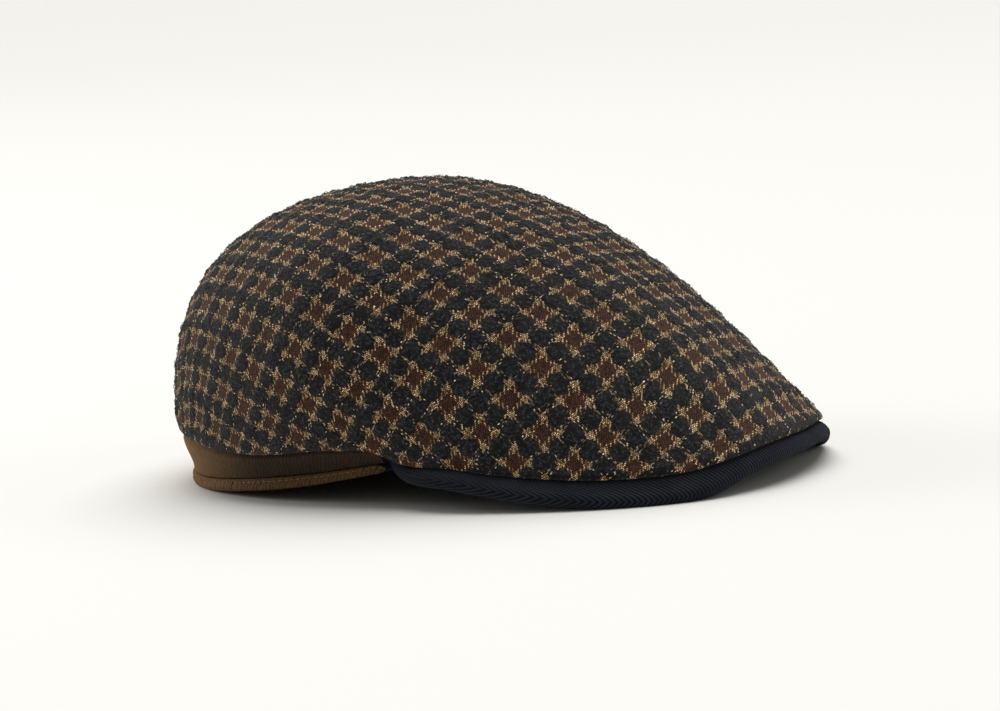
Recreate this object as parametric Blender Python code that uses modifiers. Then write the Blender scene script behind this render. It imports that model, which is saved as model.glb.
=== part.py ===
"""A flat cap: a thick tweed crown drawn down over a short needlecord peak, with a plain cloth band and a
stitched hem round the back.

The cap is laid out in sections at angles about the upright axis through the top of its crown: 0 is the
front, 90 the wearer's left and 180 the back, and the right side mirrors the left. +X is the front and +Z is
up. It rests on z = 0, on its back hem and on the two low sides of its peak, where the cloth is pressed flat.
Lengths are in metres and angles in the tables in degrees.
"""

import math

import bpy
import numpy as np

# Driving dimensions of the crown, outside, from the axis through its top
CROWN_FRONT = 0.1665
CROWN_BACK = 0.1065
CROWN_HALF_WIDTH = 0.0937
CROWN_HEIGHT = 0.1185
FRONT_SQUARENESS = 2.4
BACK_SQUARENESS = 2.2
TWEED = 0.0026

# Heights of the crown's lower edge
FRONT_EDGE = 0.0190
TEMPLE_EDGE = 0.0190
EAR_EDGE = 0.0238
BAND_SHOWN = 0.0235

# Driving dimensions of the head opening, inside the hem, and of the band that surrounds it
OPENING_FRONT = 0.1000
OPENING_BACK = 0.1008
OPENING_HALF_WIDTH = 0.0820
OPENING_SQUARENESS = 2.2
BAND_WALL = 0.0018
BAND_TUCK = 0.0060
TEMPLE_ANGLE = 74.0
TEMPLE_HEIGHT = 0.0125
HEM_THICKNESS = 0.0036
HEM_HEIGHT = 0.0052

# Driving dimensions of the peak
PEAK_THICKNESS = 0.0060
PEAK_LIP = 0.0042
PEAK_DROOP = 34.0
PEAK_EASE = 0.5
FOREHEAD_HEIGHT = 0.0370
LOW_SIDE_ANGLE = 33.0
PEAK_CORNER_ANGLE = 73.0
PEAK_END_ANGLE = 79.0

# Clearance between touching pieces, and how far cloth is pressed flat where the cap rests
GAP = 0.0003
PRESSED = 0.0003

# Numbers of faces round the crown and down it, and across the peak
ROUND = 72
DOWN = 15
ACROSS = 5

# Meridians of the crown. Each is a cubic curve from the top to the edge: top_pull and wall_pull say how far
# its two handles reach, as shares of the radius and of the height, and wall_lean how far the wall leans out.
CROWN_SECTIONS = {
    "angle": (0, 28, 58, 90, 135, 180),
    "top_pull": (0.51, 0.62, 0.90, 1.15, 0.81, 0.69),
    "wall_pull": (0.28, 0.19, 0.06, 0.20, 0.57, 0.60),
    "wall_lean": (-56, -40, -12, 0, 2, 2),
}

# The crown's lower edge: its height as shares of the heights at the front, low side, temple, ear and back
EDGE_SECTIONS = {
    "angle": (0, 8, 14, 20, 33, 42, 50, 58, 68, 75, 86, 110, 147, 180),
    "front": (1.0, 0.95, 0.60, 0.17, 0, 0, 0, 0, 0, 0, 0, 0, 0, 0),
    "side": (0, 0.05, 0.40, 0.83, 1.0, 0.80, 0.52, 0.20, 0, 0, 0, 0, 0, 0),
    "temple": (0, 0, 0, 0, 0, 0.20, 0.48, 0.80, 1.0, 0.10, 0, 0, 0, 0),
    "ear": (0, 0, 0, 0, 0, 0, 0, 0, 0, 0.90, 1.0, 0.45, 0.10, 0),
    "back": (0, 0, 0, 0, 0, 0, 0, 0, 0, 0, 0, 0.41, 0.86, 1.0),
}

# The band's lower line: its height as a share of TEMPLE_HEIGHT, and the height of its hem
BAND_SECTIONS = {
    "angle": (74, 84, 94, 102, 120, 140, 180),
    "rise": (1.0, 0.83, 0.62, 0.48, 0.22, 0.0, 0.0),
    "hem": (0.75, 0.80, 0.88, 0.95, 1.0, 1.0, 1.0),
}

# The peak: how far its lip stands out and droops, how thick it is, how high its inner edge lies between the
# temple and the forehead, and how far it reaches from the head opening, 0, to its full outline, 1
PEAK_SECTIONS = {
    "angle": (0, 8, 14, 20, 33, 46, 58, 65, 69, 71.5, 73, 79),
    "lip": (-0.20, -0.18, -0.10, 0.50, 1.0, 0.95, 0.85, 0.75, 0.70, 0.65, 0.60, 0.50),
    "droop": (1.35, 1.42, 1.42, 1.20, 1.0, 0.82, 0.58, 0.46, 0.40, 0.35, 0.30, 0.20),
    "thick": (1.12, 1.12, 1.18, 1.15, 1.0, 1.0, 1.0, 1.0, 1.0, 1.0, 1.0, 1.0),
    "inner": (1.0, 0.94, 0.88, 0.80, 0.56, 0.34, 0.18, 0.10, 0.06, 0.03, 0.02, 0.0),
    "reach": (1.0, 1.0, 1.0, 1.0, 1.0, 1.0, 0.98, 0.88, 0.66, 0.34, 0.0, 0.0),
}


def along(table, column, angle):
    """A column of a table at any angle in radians: cubic pieces through the rows, level at both ends."""
    rows = np.radians(table["angle"])
    values = np.array(table[column], float)
    slopes = np.gradient(values, rows)
    slopes[[0, -1]] = 0
    turn = np.clip(np.abs(np.arctan2(np.sin(angle), np.cos(angle))), rows[0], rows[-1])
    k = np.clip(np.searchsorted(rows, turn, side="right") - 1, 0, len(rows) - 2)
    span = rows[k + 1] - rows[k]
    w = (turn - rows[k]) / span
    start = (1 + 2 * w) * (1 - w) ** 2 * values[k] + w * (1 - w) ** 2 * span * slopes[k]
    end = w * w * (3 - 2 * w) * values[k + 1] - w * w * (1 - w) * span * slopes[k + 1]
    return start + end


def outline(angle, front, back, half_width, squareness):
    """Radius of an oval whose front and back halves are parts of two superellipses of one width."""
    length = np.where(np.cos(angle) > 0, front, back)
    terms = np.abs(np.cos(angle) / length) ** squareness + np.abs(np.sin(angle) / half_width) ** squareness
    return terms ** (-1 / squareness)


def crown_outline(angle):
    """Radius of the crown's lower edge."""
    squareness = np.where(np.cos(angle) > 0, FRONT_SQUARENESS, BACK_SQUARENESS)
    return outline(angle, CROWN_FRONT, CROWN_BACK, CROWN_HALF_WIDTH, squareness)


def opening_outline(angle, outward=0.0):
    """Radius of the head opening, set outward by a distance."""
    return outline(
        angle, OPENING_FRONT + outward, OPENING_BACK + outward, OPENING_HALF_WIDTH + outward, OPENING_SQUARENESS
    )


def side_edge():
    """Height of the crown's edge at the low sides, where the peak below it just meets the resting surface."""
    droop = math.radians(PEAK_DROOP)
    lean = -np.radians(along(CROWN_SECTIONS, "wall_lean", math.radians(LOW_SIDE_ANGLE)))
    half = PEAK_THICKNESS / 2
    drop = (PEAK_LIP + TWEED * np.cos(lean)) * math.tan(droop)
    return TWEED * np.sin(lean) + GAP + half / math.cos(PEAK_EASE * droop) + drop + half - PRESSED


def edge_height(angle):
    """Height of the crown's lower edge."""
    heights = {
        "front": FRONT_EDGE,
        "side": side_edge(),
        "temple": TEMPLE_EDGE,
        "ear": EAR_EDGE,
        "back": BAND_SHOWN,
    }
    return sum(along(EDGE_SECTIONS, name, angle) * height for name, height in heights.items())


def crown_meridian(angle, down):
    """(radius, height) of the tweed's outer face, down from 0 at the top to 1 at the edge."""
    radius, edge = crown_outline(angle), edge_height(angle)
    rise = CROWN_HEIGHT - edge
    lean = np.radians(along(CROWN_SECTIONS, "wall_lean", angle))
    pull = along(CROWN_SECTIONS, "wall_pull", angle) * rise
    handle_radius = radius + pull * np.sin(lean)
    handle_height = edge + pull * np.cos(lean)
    up = 1 - down
    top, wall = 3 * up * up * down, 3 * up * down * down
    return (
        top * along(CROWN_SECTIONS, "top_pull", angle) * radius + wall * handle_radius + down**3 * radius,
        (up**3 + top) * CROWN_HEIGHT + wall * handle_height + down**3 * edge,
    )


def crown_inside(angle, down, clearance=0.0):
    """(radius, height) of the tweed's inner face, or of a face set further inside by a clearance."""
    step = 0.002
    radius, height = crown_meridian(angle, down)
    radius_above, height_above = crown_meridian(angle, down - step)
    run, fall = radius - radius_above, height_above - height
    depth = (TWEED + clearance) / np.hypot(run, fall)
    return radius - fall * depth, height - run * depth


def lip_outline(angle):
    """Radius of the middle of the peak's rounded lip."""
    return crown_outline(angle) + PEAK_LIP * along(PEAK_SECTIONS, "lip", angle)


def half_thickness(angle):
    return PEAK_THICKNESS / 2 * along(PEAK_SECTIONS, "thick", angle)


def axis_place():
    """Where the crown's axis stands, so that the origin is under the middle of the cap."""
    down = np.linspace(0, 1, 200)
    back = crown_meridian(np.full(200, math.pi), down)[0].max()
    angles = np.linspace(0, math.pi / 4, 200)
    front = ((lip_outline(angles) + half_thickness(angles)) * np.cos(angles)).max()
    return (back - front) / 2


def to_points(angle, radius, height):
    """Points from cylindrical coordinates about the crown's axis."""
    return np.stack([axis_place() + radius * np.cos(angle), radius * np.sin(angle), height], axis=-1)


def new_object(name, points, faces, material, collection):
    mesh = bpy.data.meshes.new(name)
    mesh.from_pydata([tuple(point) for point in points], [], faces)
    mesh.validate()
    mesh.shade_smooth()
    mesh.materials.append(material)
    obj = bpy.data.objects.new(name, mesh)
    collection.objects.link(obj)
    return obj


def add_wall(obj, thickness):
    """Gives an open surface its wall, grown inwards from the outer face."""
    wall = obj.modifiers.new("Wall", "SOLIDIFY")
    wall.thickness = thickness
    wall.offset = -1
    wall.use_even_offset = True


def grid_faces(rows, columns, close_rows=False):
    """Quads between the rows of a grid of points, closed round the rows where asked."""
    faces = []
    for i in range(rows if close_rows else rows - 1):
        for j in range(columns - 1):
            near, far = i * columns, (i + 1) % rows * columns
            faces.append((near + j, near + j + 1, far + j + 1, far + j))
    return faces


def new_swept(name, points, material, collection):
    """A closed solid from sections (section, place round it, xyz), each listed clockwise from the first end."""
    sections, columns = points.shape[:2]
    ring = np.arange(columns)
    faces = [tuple(ring[::-1]), tuple((sections - 1) * columns + ring)]
    for i in range(sections - 1):
        near, far = i * columns, (i + 1) * columns
        for j in range(columns):
            k = (j + 1) % columns
            faces.append((near + j, near + k, far + k, far + j))
    return new_object(name, points.reshape(-1, 3), [tuple(map(int, face)) for face in faces], material, collection)


def make_material(name, colour, roughness):
    material = bpy.data.materials.new(name)
    material.use_nodes = True
    shader = material.node_tree.nodes["Principled BSDF"]
    shader.inputs["Base Color"].default_value = (*colour, 1.0)
    shader.inputs["Roughness"].default_value = roughness
    shader.inputs["Metallic"].default_value = 0.0
    return material


def make_crown(collection):
    """The tweed body: a loft of meridians from the top of the crown to its lower edge, with its wall inside."""
    angles = np.arange(ROUND) * 2 * math.pi / ROUND
    down = np.linspace(0, 1, DOWN + 1)[1:]
    turn, fall = np.meshgrid(angles, down, indexing="ij")
    rings = to_points(turn, *crown_meridian(turn, fall)).reshape(-1, 3)
    top = to_points(np.zeros(1), np.zeros(1), np.full(1, CROWN_HEIGHT))
    cap = len(rings)
    faces = grid_faces(ROUND, DOWN, close_rows=True)
    faces += [(cap, i * DOWN, (i + 1) % ROUND * DOWN) for i in range(ROUND)]
    tweed = make_material("Tweed", (0.060, 0.048, 0.042), 0.95)
    crown = new_object("crown", np.concatenate([rings, top]), faces, tweed, collection)
    add_wall(crown, TWEED)
    return crown


def peak_middle(angle):
    """(radius, height) of points along the middle of the peak, from its inner edge to its lip.

    A quadratic curve runs to a point under the tweed's edge, where it has taken PEAK_EASE of the droop, and a
    straight piece runs on to the lip with all of it.
    """
    droop = np.radians(PEAK_DROOP) * along(PEAK_SECTIONS, "droop", angle)
    reach = np.clip(along(PEAK_SECTIONS, "reach", angle), 0, 1)
    half = half_thickness(angle)
    rim_radius, rim_height = crown_inside(angle, np.ones_like(angle))
    full = lip_outline(angle)
    tucked = opening_outline(angle) - GAP - half
    inner_radius = tucked - half
    inner_height = TEMPLE_HEIGHT + (FOREHEAD_HEIGHT - TEMPLE_HEIGHT) * along(PEAK_SECTIONS, "inner", angle)
    outer_radius = tucked + (full - tucked) * reach
    under_radius = outer_radius - (full - rim_radius) * reach - half / 2 * (1 - reach)
    under_height = rim_height - GAP - half / np.cos(PEAK_EASE * droop)
    outer_height = under_height - (outer_radius - under_radius) * np.tan(droop)
    width = under_radius - inner_radius
    handle_radius = under_radius - 0.4 * width
    handle_height = under_height + 0.4 * width * np.tan(PEAK_EASE * droop)
    w = np.linspace(0, 1, ACROSS)[None, :]
    weights = (1 - w) ** 2, 2 * w * (1 - w), w * w
    radius = weights[0] * inner_radius + weights[1] * handle_radius + weights[2] * under_radius
    height = weights[0] * inner_height + weights[1] * handle_height + weights[2] * under_height
    return np.concatenate([radius, outer_radius], axis=1), np.concatenate([height, outer_height], axis=1)


def make_peak(collection):
    """The peak: an arched plate with a rounded lip, its section swept from temple to temple."""
    corner, end = math.radians(PEAK_CORNER_ANGLE), math.radians(PEAK_END_ANGLE)
    tail = np.linspace(corner, end, 3)[1:]
    angles = np.concatenate([-tail[::-1], np.linspace(-corner, corner, ROUND * 2 // 3 + 1), tail])[:, None]
    radius, height = peak_middle(angles)
    half = half_thickness(angles)
    run, rise = np.diff(radius, axis=1), np.diff(height, axis=1)
    length = np.hypot(run, rise)
    run, rise = run / length, rise / length
    lip_run, lip_rise = run[:, -1:], rise[:, -1:]
    mean_run = np.concatenate([run[:, :1], (run[:, 1:] + run[:, :-1]) / 2, lip_run], axis=1)
    mean_rise = np.concatenate([rise[:, :1], (rise[:, 1:] + rise[:, :-1]) / 2, lip_rise], axis=1)
    offset = half / (mean_run**2 + mean_rise**2)
    above = radius - offset * mean_rise, height + offset * mean_run
    below = radius + offset * mean_rise, height - offset * mean_run
    lip = np.radians([60, 30, 0, -30, -60])[None, :]
    rounded = (
        radius[:, -1:] + half * (np.cos(lip) * lip_run - np.sin(lip) * lip_rise),
        height[:, -1:] + half * (np.cos(lip) * lip_rise + np.sin(lip) * lip_run),
    )
    section_radius = np.concatenate([above[0], rounded[0], below[0][:, ::-1]], axis=1)
    section_height = np.concatenate([above[1], rounded[1], below[1][:, ::-1]], axis=1)
    section_height = np.maximum(section_height, 0)
    points = to_points(angles, section_radius, section_height)
    cord = make_material("Needlecord", (0.008, 0.009, 0.016), 0.8)
    return new_swept("peak", points, cord, collection)


def band_angles():
    """Section angles of the band, from the left temple round the back to the right one."""
    start = math.radians(TEMPLE_ANGLE)
    return np.linspace(start, 2 * math.pi - start, ROUND * 2 // 3 + 1)


def hem_line(angle):
    """Height of the band's lower line."""
    return TEMPLE_HEIGHT * along(BAND_SECTIONS, "rise", angle)


def hem_height(angle):
    return HEM_HEIGHT * along(BAND_SECTIONS, "hem", angle)


def make_band(collection):
    """The plain strip: its top follows the inside of the crown, and it draws in to the head opening."""
    angles = band_angles()
    foot_radius = opening_outline(angles, (HEM_THICKNESS + BAND_WALL) / 2)
    foot_height = hem_line(angles) + hem_height(angles) + GAP
    rise = CROWN_HEIGHT - edge_height(angles)
    tuck = 1 - BAND_TUCK / rise / 2
    rows = [crown_inside(angles, tuck, GAP), crown_inside(angles, (1 + tuck) / 2, GAP)]
    edge_radius, edge_level = crown_inside(angles, np.ones_like(angles), GAP)
    rows.append((edge_radius, edge_level))
    for share in (1 / 3, 2 / 3, 1):
        rows.append((edge_radius + (foot_radius - edge_radius) * share,
                     edge_level + (foot_height - edge_level) * share))
    radius, height = (np.stack([row[i] for row in rows], axis=1) for i in (0, 1))
    points = to_points(angles[:, None], radius, height).reshape(-1, 3)
    faces = grid_faces(len(angles), len(rows))
    cloth = make_material("Plain brown cloth", (0.093, 0.060, 0.030), 0.9)
    band = new_object("back_band", points, faces, cloth, collection)
    add_wall(band, BAND_WALL)
    return band


def make_hem(collection):
    """The turned hem: a soft-cornered strip under the band, flat where the cap rests."""
    angles = band_angles()
    turn = -np.linspace(0, 2 * math.pi, 8, endpoint=False) - math.pi / 8
    across = np.cos(turn) / math.cos(math.pi / 8)
    upward = np.sin(turn) / math.sin(3 * math.pi / 8)
    middle = opening_outline(angles, HEM_THICKNESS / 2)[:, None]
    tall = hem_height(angles)[:, None]
    radius = middle + across * HEM_THICKNESS / 2
    height = np.maximum(hem_line(angles)[:, None] + tall * (1 + upward) / 2, 0)
    points = to_points(angles[:, None], radius, height)
    cloth = make_material("Stitched hem", (0.085, 0.052, 0.026), 0.9)
    return new_swept("band_hem", points, cloth, collection)


def main():
    for obj in list(bpy.data.objects):
        bpy.data.objects.remove(obj)
    collection = bpy.data.collections.new("flat_cap")
    bpy.context.scene.collection.children.link(collection)
    make_crown(collection)
    make_peak(collection)
    make_band(collection)
    make_hem(collection)


main()
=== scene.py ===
import math

import bpy
import numpy as np
from mathutils import Matrix, Vector


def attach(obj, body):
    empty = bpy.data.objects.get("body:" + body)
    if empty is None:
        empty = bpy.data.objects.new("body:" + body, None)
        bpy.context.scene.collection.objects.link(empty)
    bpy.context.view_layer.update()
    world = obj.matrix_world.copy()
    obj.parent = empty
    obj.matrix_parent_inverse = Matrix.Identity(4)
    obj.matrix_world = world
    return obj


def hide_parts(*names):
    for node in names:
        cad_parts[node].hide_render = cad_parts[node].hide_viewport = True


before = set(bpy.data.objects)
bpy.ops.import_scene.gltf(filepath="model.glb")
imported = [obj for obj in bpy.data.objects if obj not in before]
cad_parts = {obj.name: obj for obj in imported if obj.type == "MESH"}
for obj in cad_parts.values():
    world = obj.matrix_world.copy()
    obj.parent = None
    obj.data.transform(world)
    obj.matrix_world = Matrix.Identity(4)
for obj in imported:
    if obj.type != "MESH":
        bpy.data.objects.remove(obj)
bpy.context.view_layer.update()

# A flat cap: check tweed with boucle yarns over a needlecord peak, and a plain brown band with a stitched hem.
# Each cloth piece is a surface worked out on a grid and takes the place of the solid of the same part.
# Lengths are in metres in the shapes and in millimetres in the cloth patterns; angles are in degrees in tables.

# ---- Sizes of the cap ----

CROWN_FRONT, CROWN_BACK, CROWN_HALF_WIDTH, CROWN_HEIGHT = 0.1665, 0.1065, 0.0937, 0.1185
FRONT_SQUARENESS, BACK_SQUARENESS, OPENING_SQUARENESS = 2.4, 2.2, 2.2
TWEED = 0.0026
FRONT_EDGE, TEMPLE_EDGE, EAR_EDGE, BAND_SHOWN = 0.0190, 0.0190, 0.0238, 0.0235
OPENING_FRONT, OPENING_BACK, OPENING_HALF_WIDTH = 0.1000, 0.1008, 0.0820
BAND_WALL, BAND_TUCK = 0.0018, 0.0060
TEMPLE_ANGLE, TEMPLE_HEIGHT = 74.0, 0.0125
HEM_THICKNESS, HEM_HEIGHT = 0.0036, 0.0052
PEAK_THICKNESS, PEAK_LIP, PEAK_DROOP, PEAK_EASE = 0.0060, 0.0042, 34.0, 0.5
FOREHEAD_HEIGHT = 0.0370
LOW_SIDE_ANGLE, PEAK_CORNER_ANGLE, PEAK_END_ANGLE = 33.0, 73.0, 79.0
GAP, PRESSED = 0.0003, 0.0003

# Meridians of the crown, the heights of its lower edge, the band's lower line and the peak's sections
CROWN_SECTIONS = {
    "angle": (0, 28, 58, 90, 135, 180),
    "top_pull": (0.51, 0.62, 0.90, 1.15, 0.81, 0.69),
    "wall_pull": (0.28, 0.19, 0.06, 0.20, 0.57, 0.60),
    "wall_lean": (-56, -40, -12, 0, 2, 2),
}
EDGE_SECTIONS = {
    "angle": (0, 8, 14, 20, 33, 42, 50, 58, 68, 75, 86, 110, 147, 180),
    "front": (1.0, 0.95, 0.60, 0.17, 0, 0, 0, 0, 0, 0, 0, 0, 0, 0),
    "side": (0, 0.05, 0.40, 0.83, 1.0, 0.80, 0.52, 0.20, 0, 0, 0, 0, 0, 0),
    "temple": (0, 0, 0, 0, 0, 0.20, 0.48, 0.80, 1.0, 0.10, 0, 0, 0, 0),
    "ear": (0, 0, 0, 0, 0, 0, 0, 0, 0, 0.90, 1.0, 0.45, 0.10, 0),
    "back": (0, 0, 0, 0, 0, 0, 0, 0, 0, 0, 0, 0.41, 0.86, 1.0),
}
BAND_SECTIONS = {
    "angle": (74, 84, 94, 102, 120, 140, 180),
    "rise": (1.0, 0.83, 0.62, 0.48, 0.22, 0.0, 0.0),
    "hem": (0.75, 0.80, 0.88, 0.95, 1.0, 1.0, 1.0),
}
PEAK_SECTIONS = {
    "angle": (0, 8, 14, 20, 33, 46, 58, 65, 69, 71.5, 73, 79),
    "lip": (-0.20, -0.18, -0.10, 0.50, 1.0, 0.95, 0.85, 0.75, 0.70, 0.65, 0.60, 0.50),
    "droop": (1.35, 1.42, 1.42, 1.20, 1.0, 0.82, 0.58, 0.46, 0.40, 0.35, 0.30, 0.20),
    "thick": (1.12, 1.12, 1.18, 1.15, 1.0, 1.0, 1.0, 1.0, 1.0, 1.0, 1.0, 1.0),
    "inner": (1.0, 0.94, 0.88, 0.80, 0.56, 0.34, 0.18, 0.10, 0.06, 0.03, 0.02, 0.0),
    "reach": (1.0, 1.0, 1.0, 1.0, 1.0, 1.0, 0.98, 0.88, 0.66, 0.34, 0.0, 0.0),
}

# ---- Sizes of the cloths, in millimetres ----

CHECK = 16.8  # the tweed's check repeats, along either thread
THREAD = CHECK / 32  # threads of the tweed's plain stripes
RUST_HALF = 5 * THREAD  # half the rust stripe
TAN_END = 10 * THREAD  # where the tan stripe beside it ends and the boucle yarn begins
SWAY = 1.8  # the threads' slow wander to both sides
LUMP, SMALL_LUMP = 2.6, 1.5  # lumps of the boucle
WALE = 1.3  # ribs of the needlecord
RIB = 1.8  # ribs of the band's cloth
CLOTH_UNIT = 100.0  # millimetres of cloth in one unit of a piece's UV map


# ---- Shapes ----

def along(table, column, angle):
    """A column of a table at any angle in radians: cubic pieces through the rows, level at both ends."""
    rows = np.radians(table["angle"])
    values = np.array(table[column], float)
    slopes = np.gradient(values, rows)
    slopes[[0, -1]] = 0
    turn = np.clip(np.abs(np.arctan2(np.sin(angle), np.cos(angle))), rows[0], rows[-1])
    k = np.clip(np.searchsorted(rows, turn, side="right") - 1, 0, len(rows) - 2)
    span = rows[k + 1] - rows[k]
    w = (turn - rows[k]) / span
    start = (1 + 2 * w) * (1 - w) ** 2 * values[k] + w * (1 - w) ** 2 * span * slopes[k]
    end = w * w * (3 - 2 * w) * values[k + 1] - w * w * (1 - w) * span * slopes[k + 1]
    return start + end


def outline(angle, front, back, half_width, squareness):
    """Radius of an oval: the sum of |cos / length| and |sin / half width|, each to the squareness, is one."""
    length = np.where(np.cos(angle) > 0, front, back)
    terms = np.abs(np.cos(angle) / length) ** squareness + np.abs(np.sin(angle) / half_width) ** squareness
    return terms ** (-1 / squareness)


def crown_outline(angle):
    """Radius of the crown's lower edge."""
    squareness = np.where(np.cos(angle) > 0, FRONT_SQUARENESS, BACK_SQUARENESS)
    return outline(angle, CROWN_FRONT, CROWN_BACK, CROWN_HALF_WIDTH, squareness)


def opening_outline(angle, outward=0.0):
    """Radius of the head opening, set outward by a distance."""
    return outline(
        angle, OPENING_FRONT + outward, OPENING_BACK + outward, OPENING_HALF_WIDTH + outward, OPENING_SQUARENESS
    )


def side_edge():
    """Height of the crown's edge at the low sides, where the peak below it just meets the floor."""
    droop = math.radians(PEAK_DROOP)
    lean = -np.radians(along(CROWN_SECTIONS, "wall_lean", math.radians(LOW_SIDE_ANGLE)))
    half = PEAK_THICKNESS / 2
    drop = (PEAK_LIP + TWEED * np.cos(lean)) * math.tan(droop)
    return TWEED * np.sin(lean) + GAP + half / math.cos(PEAK_EASE * droop) + drop + half - PRESSED


def edge_height(angle):
    """Height of the crown's lower edge, blended from its heights at five places."""
    heights = {
        "front": FRONT_EDGE,
        "side": side_edge(),
        "temple": TEMPLE_EDGE,
        "ear": EAR_EDGE,
        "back": BAND_SHOWN,
    }
    return sum(along(EDGE_SECTIONS, name, angle) * height for name, height in heights.items())


def crown_meridian(angle, down):
    """(radius, height) of the tweed's outer face: a cubic curve from the top, 0, to the edge, 1."""
    radius, edge = crown_outline(angle), edge_height(angle)
    rise = CROWN_HEIGHT - edge
    lean = np.radians(along(CROWN_SECTIONS, "wall_lean", angle))
    pull = along(CROWN_SECTIONS, "wall_pull", angle) * rise
    handle_radius = radius + pull * np.sin(lean)
    handle_height = edge + pull * np.cos(lean)
    up = 1 - down
    top, wall = 3 * up * up * down, 3 * up * down * down
    return (
        top * along(CROWN_SECTIONS, "top_pull", angle) * radius + wall * handle_radius + down**3 * radius,
        (up**3 + top) * CROWN_HEIGHT + wall * handle_height + down**3 * edge,
    )


def crown_inside(angle, down, depth=TWEED):
    """(radius, height) at a depth under the tweed's outer face, square to its meridian."""
    step = 0.002
    radius, height = crown_meridian(angle, down)
    radius_above, height_above = crown_meridian(angle, down - step)
    run, fall = radius - radius_above, height_above - height
    share = depth / np.hypot(run, fall)
    return radius - fall * share, height - run * share


def lip_outline(angle):
    """Radius of the middle of the peak's rounded lip."""
    return crown_outline(angle) + PEAK_LIP * along(PEAK_SECTIONS, "lip", angle)


def half_thickness(angle):
    return PEAK_THICKNESS / 2 * along(PEAK_SECTIONS, "thick", angle)


def axis_place():
    """Where the crown's axis stands, so that the origin is under the middle of the cap."""
    down = np.linspace(0, 1, 200)
    back = crown_meridian(np.full(200, math.pi), down)[0].max()
    angles = np.linspace(0, math.pi / 4, 200)
    front = ((lip_outline(angles) + half_thickness(angles)) * np.cos(angles)).max()
    return (back - front) / 2


AXIS_X = axis_place()


def to_points(angle, radius, height):
    """Points from cylindrical coordinates about the crown's axis."""
    return np.stack([AXIS_X + radius * np.cos(angle), radius * np.sin(angle), height], axis=-1)


def smooth_step(value, low, high):
    """0 below low, 1 above high, and 3 w^2 - 2 w^3 between, with w the share of the way."""
    w = np.clip((value - low) / (high - low), 0, 1)
    return w * w * (3 - 2 * w)


def hashed(i, j, seed):
    """A fixed number from 0 to 1 for each pair of whole numbers, by multiplying and folding their bits."""
    n = (i.astype(np.int64) * 374761393 + j.astype(np.int64) * 668265263 + seed * 974634777) & 0xFFFFFFFF
    n = ((n ^ (n >> 13)) * 1274126177) & 0xFFFFFFFF
    return ((n ^ (n >> 16)) & 0xFFFF) / 65535


def soft_noise(u, v, size, seed):
    """Noise from 0 to 1: fixed numbers at the corners of a square net, blended smoothly between."""
    i, j = np.floor(u / size), np.floor(v / size)
    s, t = smooth_step(u / size - i, 0, 1), smooth_step(v / size - j, 0, 1)
    low = hashed(i, j, seed) * (1 - s) + hashed(i + 1, j, seed) * s
    high = hashed(i, j + 1, seed) * (1 - s) + hashed(i + 1, j + 1, seed) * s
    return low * (1 - t) + high * t


def lumps(u, v, size, seed):
    """Rounded lumps from 0 to 1: one less the squared distance to the nearest scattered centre, per size."""
    i, j = np.floor(u / size), np.floor(v / size)
    nearest = np.full(u.shape, 9.0)
    for di in (-1, 0, 1):
        for dj in (-1, 0, 1):
            x = i + di + 0.15 + 0.7 * hashed(i + di, j + dj, seed)
            y = j + dj + 0.15 + 0.7 * hashed(i + di, j + dj, seed + 1)
            nearest = np.minimum(nearest, (u / size - x) ** 2 + (v / size - y) ** 2)
    return np.clip(1 - nearest, 0, 1)


def surface_normals(points):
    """Unit normals of a grid of points: the slope along its second side crossed with that along its first."""
    first, second = np.gradient(points, axis=0), np.gradient(points, axis=1)
    normals = np.cross(second, first)
    return normals / np.maximum(np.linalg.norm(normals, axis=-1, keepdims=True), 1e-12)


# ---- Meshes ----

def grid_quads(rows, columns, close_rows=False, close_columns=False):
    """Corners of the quads between a grid's points, closed round either side where asked."""
    i = np.arange(rows if close_rows else rows - 1)[:, None]
    j = np.arange(columns if close_columns else columns - 1)[None, :]
    next_i, next_j = (i + 1) % rows * columns, (j + 1) % columns
    near = i * columns
    return np.stack([near + j, near + next_j, next_i + next_j, next_i + j], axis=-1).reshape(-1, 4)


def end_fans(rows, columns):
    """Triangles that close both ends of a grid of closed sections, round two points that follow the grid's own."""
    ring = np.arange(columns)
    after = (ring + 1) % columns
    base = (rows - 1) * columns
    return np.concatenate([
        np.stack([np.full(columns, rows * columns), after, ring], axis=1),
        np.stack([np.full(columns, rows * columns + 1), base + ring, base + after], axis=1),
    ])


def new_piece(name, points, quads, material, triangles=(), cloth=None):
    """A smooth piece from whole arrays of points, quads and triangles, with a UV map of its cloth where given."""
    quads, triangles = np.asarray(quads, int).reshape(-1, 4), np.asarray(triangles, int).reshape(-1, 3)
    corners = np.concatenate([quads.ravel(), triangles.ravel()]).astype(np.int32)
    starts = np.concatenate([np.arange(len(quads)) * 4, len(quads) * 4 + np.arange(len(triangles)) * 3])
    mesh = bpy.data.meshes.new(name)
    mesh.vertices.add(len(points))
    mesh.vertices.foreach_set("co", np.ascontiguousarray(points, np.float32).ravel())
    mesh.loops.add(len(corners))
    mesh.loops.foreach_set("vertex_index", corners)
    mesh.polygons.add(len(starts))
    mesh.polygons.foreach_set("loop_start", starts.astype(np.int32))
    if cloth is not None:
        layer = mesh.uv_layers.new(name="Cloth")
        layer.data.foreach_set("uv", np.ascontiguousarray(cloth[corners], np.float32).ravel())
    mesh.update(calc_edges=True)
    mesh.validate()
    mesh.shade_smooth()
    mesh.materials.append(material)
    piece = bpy.data.objects.new(name, mesh)
    bpy.context.scene.collection.objects.link(piece)
    return piece


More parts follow.
